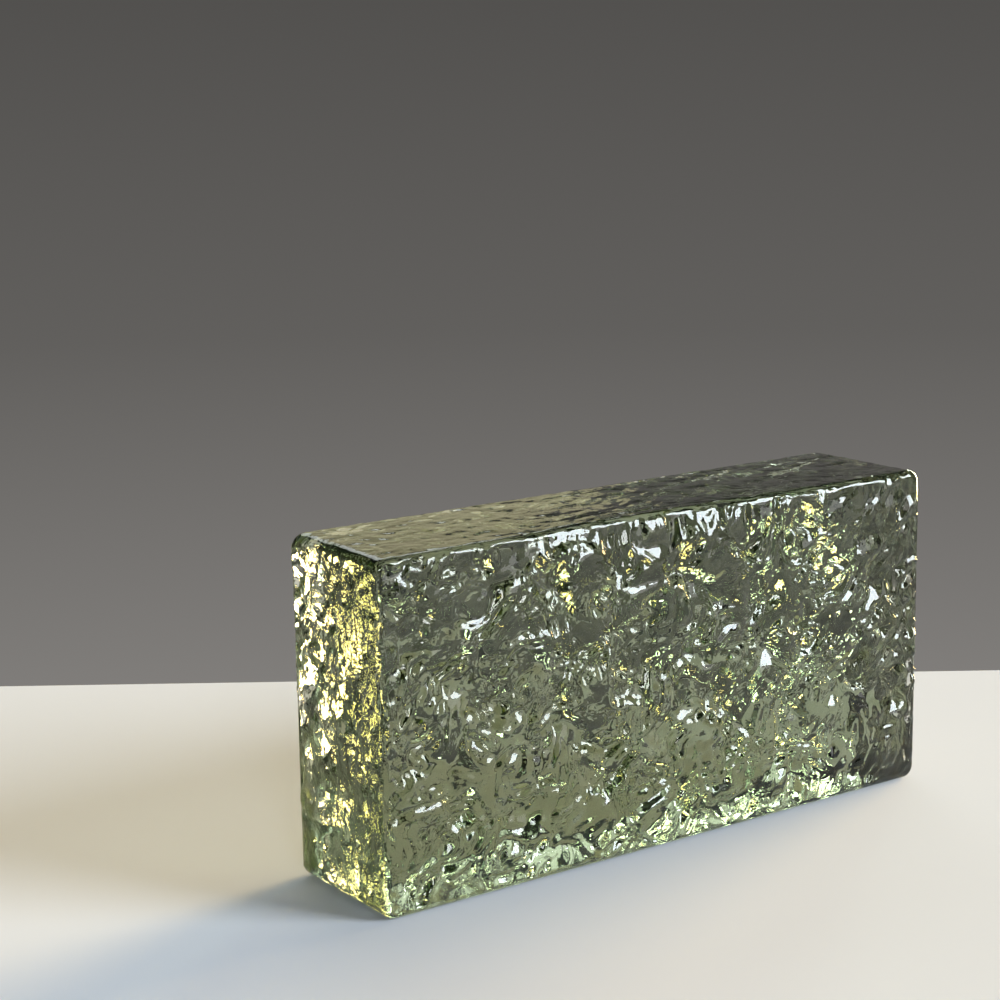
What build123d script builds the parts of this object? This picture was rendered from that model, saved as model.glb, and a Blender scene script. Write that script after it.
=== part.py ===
from build123d import *
import os
from dataclasses import dataclass
from math import cos, radians, sin, sqrt, tau
from random import Random

# A solid cast glass brick, standing on one of its long narrow sides. The origin is at the middle
# of the resting face, with X along the length, Y through the thickness and Z up. The two large
# faces and the two ends keep the crumpled skin that the molten glass froze in: crests, hollows
# and plateaus, broken into flat facets. The two bed faces, which are laid on each other in a
# wall, are flat. All sizes are in millimetres.

# Driving sizes of the brick
length = 200.0
thickness = 46.0
height = 100.0
corner_radius = 4.0  # the four corners of the outline, seen from the front
edge_radius = 2.5  # from a large face into the narrow sides
rim_width = 1.0  # flat margin between a rounded edge and the first facet


@dataclass
class Relief:
    """The crumpled skin of one face: several trains of frozen waves, each crossing the others."""

    roughness: float  # root mean square height of the waves
    plateau: float  # level at which the mould wall cut the crests off flat
    longest: float  # wavelength of the longest train
    shortest: float  # wavelength of the shortest train
    trains: int
    swirl: float  # how far the slow flow of the glass bends the crests sideways
    stretch: float  # how much longer the waves are along the face's height
    fade: float  # width over which the waves die out towards the rim
    facet: float  # width of the facets, which are stretched as the waves are
    seed: int  # so that no two faces are alike


front_relief = Relief(1.2, 0.9, 28.0, 11.0, 7, 3.0, 1.0, 6.0, 4.6, 1)
back_relief = Relief(1.2, 0.9, 28.0, 11.0, 7, 3.0, 1.0, 6.0, 4.6, 2)
left_relief = Relief(0.7, 0.4, 14.0, 7.0, 5, 1.5, 3.0, 3.0, 3.0, 3)
right_relief = Relief(0.7, 0.4, 14.0, 7.0, 5, 1.5, 3.0, 3.0, 3.0, 4)

heading_step = radians(137.5)  # turn from one wave train to the next
swirl_span = 1.6  # length of one swirl, in longest waves
scatter = 0.28  # how far a facet's corner strays from an even lattice, in facets


def ease(share):
    """Rises smoothly from 0 to 1, level at both ends."""
    share = min(max(share, 0.0), 1.0)
    return share * share * (3.0 - 2.0 * share)


def swell(u, v, relief):
    """Height of the frozen waves at a point of the face, above its middle level."""
    chance = Random(relief.seed)
    v = v / relief.stretch
    swirl_length = swirl_span * relief.longest
    bent_u = u + relief.swirl * sin(tau * (v / swirl_length + chance.random()))
    bent_v = v + relief.swirl * sin(tau * (u / swirl_length + chance.random()))
    height_sum = 0.0
    power = 0.0
    for train in range(relief.trains):
        share = train / max(relief.trains - 1, 1)
        wavelength = relief.longest * (relief.shortest / relief.longest) ** share
        heading = heading_step * train + relief.seed
        along = bent_u * cos(heading) + bent_v * sin(heading)
        height_sum += wavelength * sin(tau * (along / wavelength + chance.random()))
        power += wavelength ** 2 / 2
    return min(relief.roughness * height_sum / sqrt(power), relief.plateau)


def facet_corners(width, tall, relief):
    """Columns of the corners at which the facets of a face meet, level with the rim at its border."""
    chance = Random(relief.seed)
    stray = scatter * relief.facet
    columns = round(width / relief.facet)
    rows = round(tall / (relief.facet * relief.stretch))
    corners = []
    for column in range(columns + 1):
        line = []
        for row in range(rows + 1):
            u = width * (column / columns - 0.5)
            v = tall * (row / rows - 0.5)
            if 0 < column < columns and 0 < row < rows:
                u += chance.uniform(-stray, stray)
                v += chance.uniform(-stray, stray) * relief.stretch
            from_border = min(width / 2 - abs(u), tall / 2 - abs(v))
            line.append(Vector(u, v, swell(u, v, relief) * ease(from_border / relief.fade)))
        corners.append(line)
    return corners


def border(corners):
    """The straight-sided outline round a face's outermost corners."""
    bottom = [line[0] for line in corners[:-1]]
    right = corners[-1][:-1]
    top = [line[-1] for line in corners[:0:-1]]
    left = corners[0][:0:-1]
    return Wire.make_polygon(bottom + right + top + left)


def facets(corners):
    """Two flat triangles for each cell between the corners, split along its more level diagonal."""
    triangles = []
    for line, next_line in zip(corners, corners[1:]):
        for a, b, c, d in zip(line, next_line, next_line[1:], line[1:]):
            if abs(a.Z - c.Z) < abs(b.Z - d.Z):
                triangles += [(a, b, c), (a, c, d)]
            else:
                triangles += [(a, b, d), (b, c, d)]
    return [Face(Wire.make_polygon(triangle)) for triangle in triangles]


def plain_block():
    """The brick with flat faces: its rounded outline, and its rounded long edges."""
    outline = Plane.XZ * Pos(0, height / 2) * RectangleRounded(length, height, corner_radius)
    block = extrude(outline, amount=thickness / 2, both=True)
    front, *_, back = block.faces().sort_by(Axis.Y)
    return fillet(front.edges() + back.edges(), edge_radius)


def glass_block():
    """The plain block with the middle of four of its flat faces exchanged for a crumpled skin."""
    inset = 2.0 * (edge_radius + rim_width)
    large = (length - inset, height - inset)
    end_tall = height - 2.0 * (corner_radius + rim_width)
    end = (thickness - inset, end_tall)
    middle = height / 2
    sides = [
        (Plane((0, -thickness / 2, middle), (1, 0, 0), (0, -1, 0)), large, front_relief),
        (Plane((0, thickness / 2, middle), (-1, 0, 0), (0, 1, 0)), large, back_relief),
        (Plane((-length / 2, 0, middle), (0, -1, 0), (-1, 0, 0)), end, left_relief),
        (Plane((length / 2, 0, middle), (0, 1, 0), (1, 0, 0)), end, right_relief),
    ]
    faces = list(plain_block().faces())
    for plane, (width, tall), relief in sides:
        flat = min(faces, key=lambda face: face.distance_to(plane.origin))
        corners = facet_corners(width, tall, relief)
        faces.remove(flat)
        faces.append(flat.make_holes([plane.location * border(corners)]))
        faces += [plane.location * facet for facet in facets(corners)]
    return Solid(Shell(faces))


os.makedirs("parts", exist_ok=True)
block = glass_block()
block.label = "glass_block"
export_step(block, "parts/glass_block.step")
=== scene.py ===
import math
from typing import NamedTuple

import bmesh
import bpy
import numpy as np
from mathutils import Matrix, Vector, noise
from mathutils.bvhtree import BVHTree

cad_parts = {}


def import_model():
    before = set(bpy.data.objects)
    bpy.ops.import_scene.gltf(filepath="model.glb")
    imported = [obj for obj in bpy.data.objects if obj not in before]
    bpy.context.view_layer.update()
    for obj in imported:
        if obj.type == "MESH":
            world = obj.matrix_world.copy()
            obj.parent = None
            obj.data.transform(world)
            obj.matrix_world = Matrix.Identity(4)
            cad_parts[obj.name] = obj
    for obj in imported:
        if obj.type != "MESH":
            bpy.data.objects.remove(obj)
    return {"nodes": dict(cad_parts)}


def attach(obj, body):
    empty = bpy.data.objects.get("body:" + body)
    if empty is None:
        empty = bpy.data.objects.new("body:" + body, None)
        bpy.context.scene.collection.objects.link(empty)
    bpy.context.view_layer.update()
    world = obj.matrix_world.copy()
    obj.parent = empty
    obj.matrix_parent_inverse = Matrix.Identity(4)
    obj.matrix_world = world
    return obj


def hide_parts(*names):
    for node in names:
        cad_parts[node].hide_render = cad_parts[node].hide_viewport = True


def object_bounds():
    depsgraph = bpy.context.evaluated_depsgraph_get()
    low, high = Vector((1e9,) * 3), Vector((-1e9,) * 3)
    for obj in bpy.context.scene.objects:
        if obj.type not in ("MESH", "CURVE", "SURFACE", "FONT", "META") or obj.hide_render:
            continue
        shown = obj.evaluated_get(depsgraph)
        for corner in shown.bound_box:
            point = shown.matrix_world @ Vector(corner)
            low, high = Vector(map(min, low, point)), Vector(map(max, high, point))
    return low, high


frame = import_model()
cad_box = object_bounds()

# A solid cast brick of green glass. Its skin follows the crumpled faces of the solid, with bent and
# rounded creases, and adds the finer crumples that the solid leaves out. Sizes of the brick are in
# millimetres, sizes of the studio and of the glass in metres, and angles in degrees.

MM = 0.001

# The brick as its solid has it
LENGTH, THICKNESS, HEIGHT = 200.0, 46.0, 100.0
SIZE = np.array([LENGTH, THICKNESS, HEIGHT])
CORNER_RADIUS = 4.0
EDGE_RADIUS = 2.5

# The photograph's camera, fitted to the outline of the brick
FOCAL_PX = 2175.2
IMAGE_PX = 1000
SENSOR_MM = 36.0
AZIMUTH, ELEVATION, ROLL = -35.125, 11.346, -0.928
DISTANCE_MM = 611.7
TARGET_MM = (-44.49, 0.0, 105.12)
NEAREST = 0.01  # metres in front of the camera from which things are seen


class Field(NamedTuple):
    """Smooth noise over the skin of the brick."""

    lumps: tuple  # size of its lumps along X, Y and Z
    amount: float  # how high they stand, or how far they push a pattern about
    seed: int


SEED_SHIFT = (17.3, 5.1, 11.7)  # place in the noise, in lumps, from one seed to the next
RIDGE_SOFTNESS = 0.10  # how much ridges are rounded off, as a share of their noise
RIDGE_MIDDLE = 0.5  # level of a ridged field that lies on the middle of the skin

# Lattice that carries the skin
MESH_STEP = 0.8  # spacing on the flat faces
EDGE_STEPS = 4  # rows over each half of a rounded edge
ROUNDING_ERROR = 1e-9

# The solid's own creases
FLAT_NORMAL = 0.999  # points whose normal is this near an axis lie on a flat face
CREASE_RADIUS = 1.5  # how far the creases are rounded off to each side
BEND = Field((6.0, 6.0, 6.0), 3.5, 41)  # pushes the creases about
REACH = 10.0  # the solid's faces are looked for from this far outside

# Finer crumples of the large faces
LARGE_FLOW = Field((15.0, 15.0, 15.0), 10.0, 1)
LARGE_TURN = math.radians(28.0)  # of the crests in the plane of the face
FACETS = Field((6.6, 5.0, 4.4), 1.6, 5)
FACET_BEND = 3.0  # how far the flow bends the facets' ridges
WRINKLES = Field((3.2, 2.6, 2.3), 1.1, 6)
WRINKLE_BEND = 2.0  # how far a facet pushes the wrinkles on it
CRUMPLES = Field((1.7, 1.7, 1.7), 0.3, 7)
ROUGH_PATCHES = Field((17.0, 13.0, 9.0), 2.6, 8)
ROUGH_SHARE = 0.50  # how rough the skin is halfway between a rough patch and a calm one
CALM_FACETS = 0.25  # share of the facets' height that is left in a calm patch
CALM_WRINKLES = 0.06  # share of the wrinkles' height that is left there

# Upright flutes, knots and grain of the ends
END_FLOW = Field((9.0, 9.0, 20.0), 2.5, 11)
FLUTES = Field((8.0, 4.5, 30.0), 0.9, 14)
KNOTS = Field((6.0, 3.4, 6.0), 0.9, 15)
GRAIN = Field((3.0, 1.8, 3.2), 0.7, 16)

# Low ripples of the top bed face
TOP_FLOW = Field((14.0, 14.0, 14.0), 4.0, 21)
TOP_SWELLS = Field((9.0, 5.0, 9.0), 0.30, 24)
TOP_RIPPLES = Field((2.6, 1.8, 2.6), 0.16, 25)

# Shoulder, over which the large faces fall back towards their top edge
SHOULDER_DROP = 0.4  # at the top edge of both large faces
FRONT_DROP = 2.0  # by how much more the middle of the front falls back
FRONT_MIDDLE = -12.0  # X of the middle of that stretch
FRONT_HALF = 54.0  # half its length
FRONT_FADE = 34.0  # over which it dies out at each end
SHOULDER_TALL = 9.0  # from the top edge down to where the fall starts
SHOULDER_FADE = 8.0  # height over which it grows to its full depth
SHOULDER_DEEP = 10.5  # from a large face inwards to where the fall ends
SHOULDER_INWARD_FADE = 8.0  # over which it dies out there
SCALLOPS = Field((9.0, 9.0, 30.0), 3.0, 31)  # push the shoulder up and down
SMALL_SCALLOPS = Field((2.6, 9.0, 12.0), 2.0, 32)

# What keeps the skin inside the solid's box
EDGE_SHARE = 0.12  # share of the finer relief that is left on the rounded edges
FACE_FROM, FACE_FADE = 0.93, 0.07  # largest part of the normal, over which that share grows to 1
SHOULDER_CALM = 0.35  # share of the finer relief that each millimetre of the fall takes away
LARGE_SINK, END_SINK, TOP_SINK = 0.3, 0.4, 0.4  # how far the finer relief is set back
ROOM = (0.38, 0.88, 0.0)  # how far the skin may stand out of the ends, large faces and beds
LIMIT_SOFTNESS = 0.25  # over which a crest is rounded off at that limit
UNDERSIDE_FROM, UNDERSIDE_FADE = 0.95, 0.6  # part of the normal down, where the skin goes flat
LEVEL = 1e-7  # metres above the floor, up to which a point is on the underside

# Green glass
GLASS_IOR = 1.52
GLASS_COLOUR = (0.27, 0.37, 0.13)
GLASS_DENSITY = 33.0  # how fast the colour deepens, to the metre
END_SHARPNESS = 3.0  # power of the normal along X that marks out the ends
END_ROUGHNESS = 0.17  # the large faces and beds have none
PATCHES_PER_METRE = 45.0
PATCH_CONTRAST, PATCH_SHIFT = 7.0, -3.7  # turn smooth noise into patches with clear borders
GRAINS_PER_METRE = 900.0
GRAIN_DEPTH = 0.00003  # of the finest grain, which is everywhere
PATCH_DEPTH = 0.00006  # added on rough patches
END_DEPTH = 0.0002  # added on the ends

# Studio
FLOOR_BEHIND = 0.16  # from the middle of the brick to the floor's far edge, away from the camera
FLOOR_REACH = 5.0  # to its other edges
FLOOR_GAP = 0.0002  # between the floor and the brick, so that the two don't flicker
FLOOR_COLOUR = (0.65, 0.68, 0.74)
# Colours of the backdrop by the height of a direction, from straight down at -1 to straight up at 1.
# The first and the last height are 1 apart, as the ends of the ramp that holds the colours are.
BACKDROP = (
    (-0.50, (0.30, 0.285, 0.27)),
    (-0.28, (0.22, 0.211, 0.20)),
    (-0.12, (0.12, 0.115, 0.109)),
    (0.05, (0.08, 0.077, 0.073)),
    (0.12, (0.21, 0.20, 0.19)),
    (0.26, (0.17, 0.162, 0.153)),
    (0.40, (0.04, 0.04, 0.04)),
    (0.50, (0.04, 0.04, 0.04)),
)
BOUNCES = 32
GLOSSY_BOUNCES = 16


class Softbox(NamedTuple):
    """A distant round softbox, placed as seen from the brick."""

    name: str
    azimuth: float  # from +X
    elevation: float
    width: float  # angle that it spans
    strength: float  # light that falls on a surface square to it
    colour: tuple


SOFTBOXES = (
    Softbox("over", 0, 80, 60, 0.3, (0.95, 0.97, 1.0)),
    Softbox("key", -113, 15, 16, 0.9, (0.93, 0.96, 1.0)),
    Softbox("window", -50, 24, 28, 3.5, (0.85, 0.93, 1.0)),
    Softbox("veil", -60, 4, 22, 0.3, (0.97, 0.97, 1.0)),
    Softbox("back", 36, 12, 13, 1.0, (0.90, 1.0, 0.80)),
    Softbox("high_back", 62, 36, 30, 0.45, (0.95, 1.0, 0.95)),
    Softbox("low_sun", 10, 5.5, 31, 13.0, (1.0, 0.73, 0.33)),
    Softbox("gleam", 62, 11, 20, 0.05, (1.0, 0.92, 0.48)),
)


def lattice_line(size):
    """Places along one side of the brick: fine over the rounded edges, even between them."""
    inner = size / 2 - EDGE_RADIUS
    count = round(2 * inner / MESH_STEP)
    middle = np.linspace(-inner, inner, count + 1)
    rise = np.tan(np.linspace(0, math.pi / 4, EDGE_STEPS + 1)[1:])
    return np.concatenate([-inner - EDGE_RADIUS * rise[::-1], middle, inner + EDGE_RADIUS * rise])


def lattice_faces(nx, ny, nz):
    """Points and outward quads of a box lattice with nx, ny, nz cells along its sides."""
    points, quads, index = [], [], {}

    def vertex(key):
        if key not in index:
            index[key] = len(points)
            points.append(key)
        return index[key]

    def patch(nu, nv, place, flip):
        for i in range(nu):
            for j in range(nv):
                ring = [place(i, j), place(i + 1, j), place(i + 1, j + 1), place(i, j + 1)]
                quad = [vertex(key) for key in ring]
                quads.append(quad[::-1] if flip else quad)

    patch(nx, nz, lambda i, j: (i, 0, j), False)
    patch(nx, nz, lambda i, j: (i, ny, j), True)
    patch(ny, nz, lambda i, j: (0, i, j), True)
    patch(ny, nz, lambda i, j: (nx, i, j), False)
    patch(nx, ny, lambda i, j: (i, j, 0), True)
    patch(nx, ny, lambda i, j: (i, j, nz), False)
    return np.array(points), np.array(quads)


def rounded_box():
    """Positions, normals and quads of the brick with plain faces, standing on z = 0."""
    lines = [lattice_line(size) for size in (LENGTH, THICKNESS, HEIGHT)]
    keys, quads = lattice_faces(*(len(line) - 1 for line in lines))
    box = np.stack([line[keys[:, axis]] for axis, line in enumerate(lines)], axis=1)
    half = SIZE / 2
    core = np.clip(box, -(half - EDGE_RADIUS), half - EDGE_RADIUS)
    straight = (half - CORNER_RADIUS)[[0, 2]]
    corner = np.clip(box[:, [0, 2]], -straight, straight)
    out = box[:, [0, 2]] - corner
    far = np.hypot(out[:, 0], out[:, 1])
    bend = CORNER_RADIUS - EDGE_RADIUS
    both = (np.abs(out) > ROUNDING_ERROR).all(axis=1) & (far > bend)
    core[both, 0] = corner[both, 0] + bend * out[both, 0] / far[both]
    core[both, 2] = corner[both, 1] + bend * out[both, 1] / far[both]
    normals = box - core
    normals /= np.linalg.norm(normals, axis=1)[:, None]
    points = core + EDGE_RADIUS * normals
    points[:, 2] += HEIGHT / 2
    return points, normals, quads


def ease(share):
    """Rises smoothly from 0 to 1, level at both ends."""
    share = np.clip(share, 0.0, 1.0)
    return share * share * (3.0 - 2.0 * share)


def at_least(low, share):
    """A share of 0 to 1, raised so that it runs from the given low to 1."""
    return low + (1.0 - low) * share


def lumps(points, field):
    """The field's smooth noise at the points, of about -1 to 1, before its amount is applied."""
    shift = Vector([field.seed * step for step in SEED_SHIFT])
    cells = points / np.array(field.lumps)
    return np.array([noise.noise(Vector(p) + shift) for p in cells])


def flow(points, field):
    """Noise for each axis, which pushes a pattern about like a slow flow of the glass."""
    seeds = range(field.seed, field.seed + 3)
    return np.stack([lumps(points, field._replace(seed=seed)) for seed in seeds], axis=1)


def ridged(points, field):
    """Rounded hollows that meet in ridges (1 on a ridge), before the field's amount is applied."""
    smooth = lumps(points, field)
    return 1.0 - 2.0 * (np.sqrt(smooth ** 2 + RIDGE_SOFTNESS ** 2) - RIDGE_SOFTNESS)


def turned(points, angle):
    """The points with their X and Z turned by an angle in the plane of the large faces."""
    c, s = math.cos(angle), math.sin(angle)
    x, y, z = points.T
    return np.stack([x * c + z * s, y, z * c - x * s], axis=1)


def solid_skin(points, normals):
    """Height of the solid's crumpled faces above the plain brick, their creases bent and rounded."""
    mesh = frame["nodes"]["glass_block"].data
    corners = [vertex.co / MM for vertex in mesh.vertices]
    solid = BVHTree.FromPolygons(corners, [tuple(face.vertices) for face in mesh.polygons])
    half = SIZE / 2 - CORNER_RADIUS
    middle = np.array([0.0, 0.0, HEIGHT / 2])
    bent = points + BEND.amount * flow(points, BEND)
    height = np.zeros(len(points))
    along = np.array([0.0, 0.0, CREASE_RADIUS])
    for i in np.flatnonzero(np.abs(normals[:, :2]).max(axis=1) > FLAT_NORMAL):
        outward = normals[i]
        across = np.cross(outward, along)
        start = points[i] @ outward + REACH
        found = []
        for shift in (0.0 * along, along, -along, across, -across):
            place = np.clip(bent[i] + shift, middle - half, middle + half)
            place += (start - place @ outward) * outward
            found.append(solid.ray_cast(Vector(place), Vector(-outward))[3])
        height[i] = REACH - sum(found) / len(found)
    return height


def large_face_relief(points):
    """Finer crumples of the large faces: facets and wrinkles, with calm patches."""
    push = flow(points, LARGE_FLOW)
    base = turned(points + LARGE_FLOW.amount * push, LARGE_TURN)
    facets = ridged(base + FACET_BEND * push, FACETS)
    wrinkles = lumps(base + WRINKLE_BEND * facets[:, None], WRINKLES)
    crumples = lumps(points + wrinkles[:, None], CRUMPLES)
    rough = ease(ROUGH_SHARE + ROUGH_PATCHES.amount * lumps(base, ROUGH_PATCHES))
    fine = WRINKLES.amount * wrinkles + CRUMPLES.amount * crumples
    return (FACETS.amount * (facets - RIDGE_MIDDLE) * at_least(CALM_FACETS, rough)
            + at_least(CALM_WRINKLES, rough) * fine)


def end_relief(points):
    """Upright flutes, knots and grain of the two ends."""
    bent = points + END_FLOW.amount * flow(points, END_FLOW)
    return (FLUTES.amount * (ridged(bent, FLUTES) - RIDGE_MIDDLE)
            + KNOTS.amount * (ridged(bent, KNOTS) - RIDGE_MIDDLE)
            + GRAIN.amount * lumps(bent, GRAIN))


def top_relief(points):
    """Low ripples of the top bed face."""
    bent = points + TOP_FLOW.amount * flow(points, TOP_FLOW)
    return (TOP_SWELLS.amount * lumps(bent, TOP_SWELLS)
            + TOP_RIPPLES.amount * lumps(bent, TOP_RIPPLES))


def shoulder(points):
    """How far the large faces fall back towards the top edge: in scallops, most at the front."""
    x, y, z = points.T
    wander = (SCALLOPS.amount * lumps(points, SCALLOPS)
              + SMALL_SCALLOPS.amount * lumps(points, SMALL_SCALLOPS))
    on_front = np.where(y < 0, ease((FRONT_HALF - np.abs(x - FRONT_MIDDLE)) / FRONT_FADE), 0.0)
    near_face = ease((np.abs(y) - THICKNESS / 2 + SHOULDER_DEEP) / SHOULDER_INWARD_FADE)
    near_top = ease((z + wander - (HEIGHT - SHOULDER_TALL)) / SHOULDER_FADE)
    return (SHOULDER_DROP + FRONT_DROP * on_front) * near_face * near_top


def relief(points, normals, drop):
    """Height of the skin above the plain brick, never past the room that the solid's box leaves."""
    on_end, on_large, on_bed = (normals ** 2).T
    on_top = np.where(normals[:, 2] > 0, on_bed, 0.0)
    flatness = np.abs(normals).max(axis=1)
    on_face = at_least(EDGE_SHARE, ease((flatness - FACE_FROM) / FACE_FADE))
    height = solid_skin(points, normals)
    large = large_face_relief(points) * on_face * (1.0 - SHOULDER_CALM * drop)
    height += on_large * (large - LARGE_SINK)
    height += on_end * (end_relief(points) - END_SINK) * on_face
    height += on_top * (top_relief(points) - TOP_SINK)
    room = normals ** 2 @ np.array(ROOM)
    limited = room - LIMIT_SOFTNESS * np.logaddexp(0.0, (room - height) / LIMIT_SOFTNESS)
    return limited * ease((normals[:, 2] + UNDERSIDE_FROM) / UNDERSIDE_FADE)


def merge_flat_underside(mesh):
    """One face in place of the many inside the flat underside."""
    work = bmesh.new()
    work.from_mesh(mesh)
    flat = [face for face in work.faces if all(v.co.z < LEVEL for v in face.verts)]
    below = set(flat)
    inside = [face for face in flat
              if all(other in below for v in face.verts for other in v.link_faces)]
    bmesh.ops.dissolve_faces(work, faces=inside)
    work.to_mesh(mesh)
    work.free()


def placed(name, data):
    """A new object in the scene."""
    piece = bpy.data.objects.new(name, data)
    bpy.context.scene.collection.objects.link(piece)
    return piece


def make_block():
    """The cast brick with all its relief, kept within the solid's box."""
    points, normals, quads = rounded_box()
    drop = shoulder(points)
    sides = np.sign(points[:, 1])
    points = points + normals * relief(points, normals, drop)[:, None]
    points[:, 1] -= sides * drop
    lowest, highest = (np.array(corner) / MM for corner in cad_box)
    points = np.clip(points, lowest, highest)
    mesh = bpy.data.meshes.new("glass_block_cast")
    mesh.from_pydata((points * MM).tolist(), [], quads.tolist())
    merge_flat_underside(mesh)
    mesh.polygons.foreach_set("use_smooth", [True] * len(mesh.polygons))
    mesh.update()
    return placed("glass_block_cast", mesh)


def noise_node(tree, place, scale):
    """Output of a noise texture that is fixed to the brick, with the given lumps to the metre."""
    texture = tree.nodes.new("ShaderNodeTexNoise")
    texture.inputs["Scale"].default_value = scale
    texture.inputs["Detail"].default_value = 1.0
    tree.links.new(place.outputs["Object"], texture.inputs["Vector"])
    return texture.outputs["Fac"]


def math_node(tree, operation, *values, clamp=False):
    """Output of a math node, whose inputs are numbers or other nodes' outputs."""
    node = tree.nodes.new("ShaderNodeMath")
    node.operation = operation
    node.use_clamp = clamp
    for socket, value in zip(node.inputs, values):
        if isinstance(value, float):
            socket.default_value = value
        else:
            tree.links.new(value, socket)
    return node.outputs["Value"]


def part_of(tree, vector, axis):
    """Output of one part, X, Y or Z, of a vector output."""
    split = tree.nodes.new("ShaderNodeSeparateXYZ")
    tree.links.new(vector, split.inputs["Vector"])
    return split.outputs[axis]


def glass():
    """Clear green glass, darker where it is thicker, with patches of fine grain and duller ends."""
    material = bpy.data.materials.new("green_glass")
    material.use_nodes = True
    tree = material.node_tree
    shader = tree.nodes["Principled BSDF"]
    shader.inputs["Base Color"].default_value = (1, 1, 1, 1)
    shader.inputs["IOR"].default_value = GLASS_IOR
    shader.inputs["Transmission Weight"].default_value = 1.0
    inside = tree.nodes.new("ShaderNodeVolumeAbsorption")
    inside.inputs["Color"].default_value = (*GLASS_COLOUR, 1)
    inside.inputs["Density"].default_value = GLASS_DENSITY
    tree.links.new(inside.outputs["Volume"], tree.nodes["Material Output"].inputs["Volume"])
    place = tree.nodes.new("ShaderNodeTexCoord")
    patches = noise_node(tree, place, PATCHES_PER_METRE)
    on_patch = math_node(tree, "MULTIPLY_ADD", patches, PATCH_CONTRAST, PATCH_SHIFT, clamp=True)
    sideways = math_node(tree, "ABSOLUTE", part_of(tree, place.outputs["Normal"], "X"))
    on_end = math_node(tree, "POWER", sideways, END_SHARPNESS)
    roughness = math_node(tree, "MULTIPLY", on_end, END_ROUGHNESS)
    tree.links.new(roughness, shader.inputs["Roughness"])
    depth = math_node(tree, "MULTIPLY_ADD", on_patch, PATCH_DEPTH, GRAIN_DEPTH)
    depth = math_node(tree, "MULTIPLY_ADD", on_end, END_DEPTH, depth)
    bump = tree.nodes.new("ShaderNodeBump")
    bump.inputs["Strength"].default_value = 1.0
    bump.inputs["Distance"].default_value = 1.0
    height = math_node(tree, "MULTIPLY", noise_node(tree, place, GRAINS_PER_METRE), depth)
    tree.links.new(height, bump.inputs["Height"])
    tree.links.new(bump.outputs["Normal"], shader.inputs["Normal"])
    return material


def direction(azimuth, elevation):
    """Unit vector towards an azimuth from +X and an elevation, in degrees."""
    azimuth, elevation = math.radians(azimuth), math.radians(elevation)
    level = math.cos(elevation)
    return Vector((math.cos(azimuth) * level, math.sin(azimuth) * level, math.sin(elevation)))


def camera():
    """The photograph's camera, whose azimuth is measured from the front of the brick, -Y."""
    back = direction(AZIMUTH - 90.0, ELEVATION)
    roll = math.radians(ROLL)
    right = (-back).cross(Vector((0, 0, 1))).normalized()
    up = right.cross(-back)
    turned_right = right * math.cos(roll) + up * math.sin(roll)
    turned_up = up * math.cos(roll) - right * math.sin(roll)
    place = (Vector(TARGET_MM) + back * DISTANCE_MM) * MM
    data = bpy.data.cameras.new("camera")
    data.sensor_width = SENSOR_MM
    data.lens = FOCAL_PX * SENSOR_MM / IMAGE_PX
    data.clip_start = NEAREST
    eye = placed("camera", data)
    axes = Matrix((turned_right, turned_up, back)).transposed()
    eye.matrix_world = Matrix.Translation(place) @ axes.to_4x4()
    bpy.context.scene.camera = eye


def floor():
    """A matt table top, square to the camera, which ends behind the brick."""
    mesh = bpy.data.meshes.new("floor")
    away = -direction(AZIMUTH - 90.0, 0.0)
    across = away.cross(Vector((0, 0, 1)))
    far, near, half = FLOOR_BEHIND * away, -FLOOR_REACH * away, FLOOR_REACH * across
    mesh.from_pydata([near - half, near + half, far + half, far - half], [], [(0, 1, 2, 3)])
    piece = placed("floor", mesh)
    piece.location.z = -FLOOR_GAP
    material = bpy.data.materials.new("floor")
    material.use_nodes = True
    shader = material.node_tree.nodes["Principled BSDF"]
    shader.inputs["Base Color"].default_value = (*FLOOR_COLOUR, 1)
    shader.inputs["Roughness"].default_value = 1.0
    shader.inputs["Specular IOR Level"].default_value = 0.0
    mesh.materials.append(material)


def light(softbox):
    """The lamp of a softbox. It shows in the glass, but not to the camera itself."""
    data = bpy.data.lights.new(softbox.name, "SUN")
    data.angle = math.radians(softbox.width)
    data.energy = softbox.strength
    data.color = softbox.colour
    towards = direction(softbox.azimuth, softbox.elevation)
    lamp = placed(softbox.name, data)
    lamp.rotation_euler = towards.to_track_quat("Z", "Y").to_euler()


def world():
    """A grey backdrop all round, graduated by height, which the camera and the glass both see."""
    place = bpy.data.worlds.new("studio")
    bpy.context.scene.world = place
    place.use_nodes = True
    tree = place.node_tree
    back = tree.nodes["Background"]
    back.inputs["Strength"].default_value = 1.0
    where = tree.nodes.new("ShaderNodeTexCoord")
    ramp = tree.nodes.new("ShaderNodeValToRGB")
    (lowest_rise, lowest_colour), *between, (_, highest_colour) = BACKDROP
    lowest, highest = ramp.color_ramp.elements
    lowest.color = (*lowest_colour, 1)
    highest.color = (*highest_colour, 1)
    for rise, colour in between:
        ramp.color_ramp.elements.new(rise - lowest_rise).color = (*colour, 1)
    height = part_of(tree, where.outputs["Generated"], "Z")
    tree.links.new(math_node(tree, "ADD", height, -lowest_rise), ramp.inputs["Fac"])
    tree.links.new(ramp.outputs["Color"], back.inputs["Color"])


block = make_block()
block.data.materials.append(glass())
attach(block, "root")
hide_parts("glass_block")
floor()
for softbox in SOFTBOXES:
    light(softbox)
world()
camera()

scene = bpy.context.scene
scene.view_settings.view_transform = "Standard"
scene.cycles.max_bounces = BOUNCES
scene.cycles.transmission_bounces = BOUNCES
scene.cycles.glossy_bounces = GLOSSY_BOUNCES
scene.cycles.sample_clamp_indirect = 0.0
